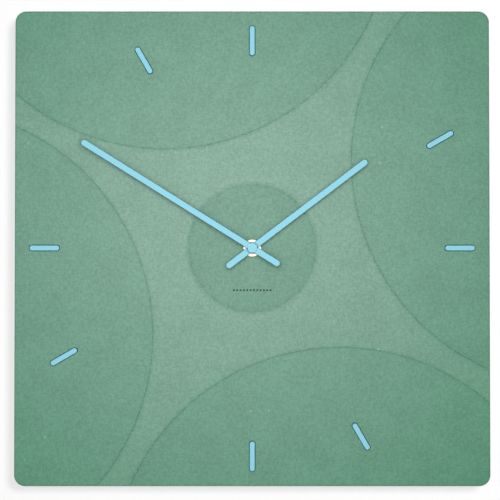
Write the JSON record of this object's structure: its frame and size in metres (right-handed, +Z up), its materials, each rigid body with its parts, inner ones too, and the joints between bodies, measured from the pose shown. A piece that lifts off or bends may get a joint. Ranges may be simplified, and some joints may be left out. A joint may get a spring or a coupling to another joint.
{
  "type": "wall clock",
  "caption": "Square wall clock: a green board with engraved arcs, raised hour marks and straight hands, and a quartz movement let into its back.",
  "frame": {"origin": "where the axis of the hands meets the wall, in the plane of the wall pads' rear faces", "axes": "+Y into the wall, so the dial faces -Y; +Z up, towards twelve; +X to the right as seen from the front"},
  "size_m": [0.3, 0.0285, 0.3],
  "materials": {
    "green_fibreboard": "sanded, dyed through, fine fibres",
    "blue_enamel": "satin paint",
    "hand_collet": "turned",
    "nickel_plate": "bright plated",
    "brass": "turned",
    "black_rubber": "matt",
    "black_case": "fine moulded grain",
    "cream_plastic": "moulded",
    "white_acetal": "moulded",
    "blue_acetal": "moulded",
    "magnet": "sintered",
    "zinc_steel": "zinc plated",
    "core_steel": "stamped",
    "bobbin_plastic": "moulded",
    "copper_winding": "enamelled wire",
    "circuit_laminate": "bare laminate",
    "black_epoxy": "cured drop",
    "tinned_metal": "tinned",
    "grey_knob": "moulded",
    "cell_can": "nickel plated",
    "cell_sleeve": "shrunk film",
    "grey_felt": "pressed felt"
  },
  "bodies": {
    "clock_body": {"dial_board": "green_fibreboard", "hour_mark_12": "blue_enamel", "hour_mark_2": "blue_enamel", "hour_mark_3": "blue_enamel", "hour_mark_5": "blue_enamel", "hour_mark_6": "blue_enamel", "hour_mark_8": "blue_enamel", "hour_mark_9": "blue_enamel", "hour_mark_11": "blue_enamel", "bush_nut": "nickel_plate", "bush_washer": "brass", "rubber_washer": "black_rubber", "threaded_bush": "brass", "case_front": "black_case", "case_back": "black_case", "mid_plate": "cream_plastic", "train_bridge": "cream_plastic", "bridge_screws": "zinc_steel", "stator": "core_steel", "coil_core": "core_steel", "coil_bobbin": "bobbin_plastic", "coil_winding": "copper_winding", "coil_screws": "zinc_steel", "circuit_board": "circuit_laminate", "chip_blob": "black_epoxy", "crystal_can": "tinned_metal", "positive_contact": "tinned_metal", "negative_contact": "tinned_metal", "hanger_plate": "zinc_steel", "hanger_screws": "brass", "wall_pad_top_left": "grey_felt", "wall_pad_top_right": "grey_felt", "wall_pad_bottom_left": "grey_felt", "wall_pad_bottom_right": "grey_felt"},
    "minute_hand_group": {"minute_hand": "blue_enamel", "minute_hand_collet": "hand_collet", "minute_hand_cap": "blue_enamel", "minute_pipe": "brass", "centre_wheel": "white_acetal"},
    "hour_hand_group": {"hour_hand": "blue_enamel", "hour_hand_collet": "hand_collet", "hour_wheel": "white_acetal"},
    "minute_works_group": {"minute_works_wheel": "white_acetal"},
    "setting_group": {"setting_shaft": "white_acetal", "setting_knob": "grey_knob"},
    "third_wheel_group": {"third_wheel": "white_acetal"},
    "seconds_wheel_group": {"seconds_wheel": "white_acetal", "seconds_arbor": "zinc_steel"},
    "intermediate_wheel_group": {"intermediate_wheel": "white_acetal"},
    "rotor_group": {"rotor_spindle": "blue_acetal", "rotor_magnet": "magnet"},
    "battery_group": {"battery_can": "cell_can", "battery_sleeve": "cell_sleeve"}
  },
  "joints": [
    {"name": "minute_hand_turn", "type": "hinge", "parent": "clock_body", "child": "minute_hand_group", "pos_m": [0, 0, 0], "axis": [0, 1, 0], "continuous": true},
    {"name": "hour_hand_turn", "type": "hinge", "parent": "clock_body", "child": "hour_hand_group", "pos_m": [0, 0, 0], "axis": [0, 1, 0], "continuous": true},
    {"name": "minute_works_turn", "type": "hinge", "parent": "clock_body", "child": "minute_works_group", "pos_m": [0.0096, 0, 0], "axis": [0, 1, 0], "continuous": true},
    {"name": "setting_turn", "type": "hinge", "parent": "clock_body", "child": "setting_group", "pos_m": [0.01862, 0, 0.00328], "axis": [0, 1, 0], "continuous": true},
    {"name": "third_wheel_turn", "type": "hinge", "parent": "clock_body", "child": "third_wheel_group", "pos_m": [0.00612, 0, 0.0106], "axis": [0, 1, 0], "continuous": true},
    {"name": "seconds_wheel_turn", "type": "hinge", "parent": "clock_body", "child": "seconds_wheel_group", "pos_m": [0, 0, 0], "axis": [0, 1, 0], "continuous": true},
    {"name": "intermediate_wheel_turn", "type": "hinge", "parent": "clock_body", "child": "intermediate_wheel_group", "pos_m": [-0.00624, 0, 0.0036], "axis": [0, 1, 0], "continuous": true},
    {"name": "rotor_turn", "type": "hinge", "parent": "clock_body", "child": "rotor_group", "pos_m": [-0.0116, 0, 0.0081], "axis": [0, 1, 0], "continuous": true},
    {"name": "battery_slide", "type": "slide", "parent": "clock_body", "child": "battery_group", "axis": [0, 1, 0], "range_m": [0, 0.03]}
  ],
  "couplings": [
    {"joint": "hour_hand_turn", "follows": "minute_hand_turn", "ratio": 0.083333},
    {"joint": "minute_works_turn", "follows": "minute_hand_turn", "ratio": -0.33333},
    {"joint": "setting_turn", "follows": "minute_hand_turn", "ratio": 1},
    {"joint": "third_wheel_turn", "follows": "minute_hand_turn", "ratio": -8},
    {"joint": "seconds_wheel_turn", "follows": "minute_hand_turn", "ratio": 60},
    {"joint": "intermediate_wheel_turn", "follows": "minute_hand_turn", "ratio": -300},
    {"joint": "rotor_turn", "follows": "minute_hand_turn", "ratio": 1800}
  ]
}
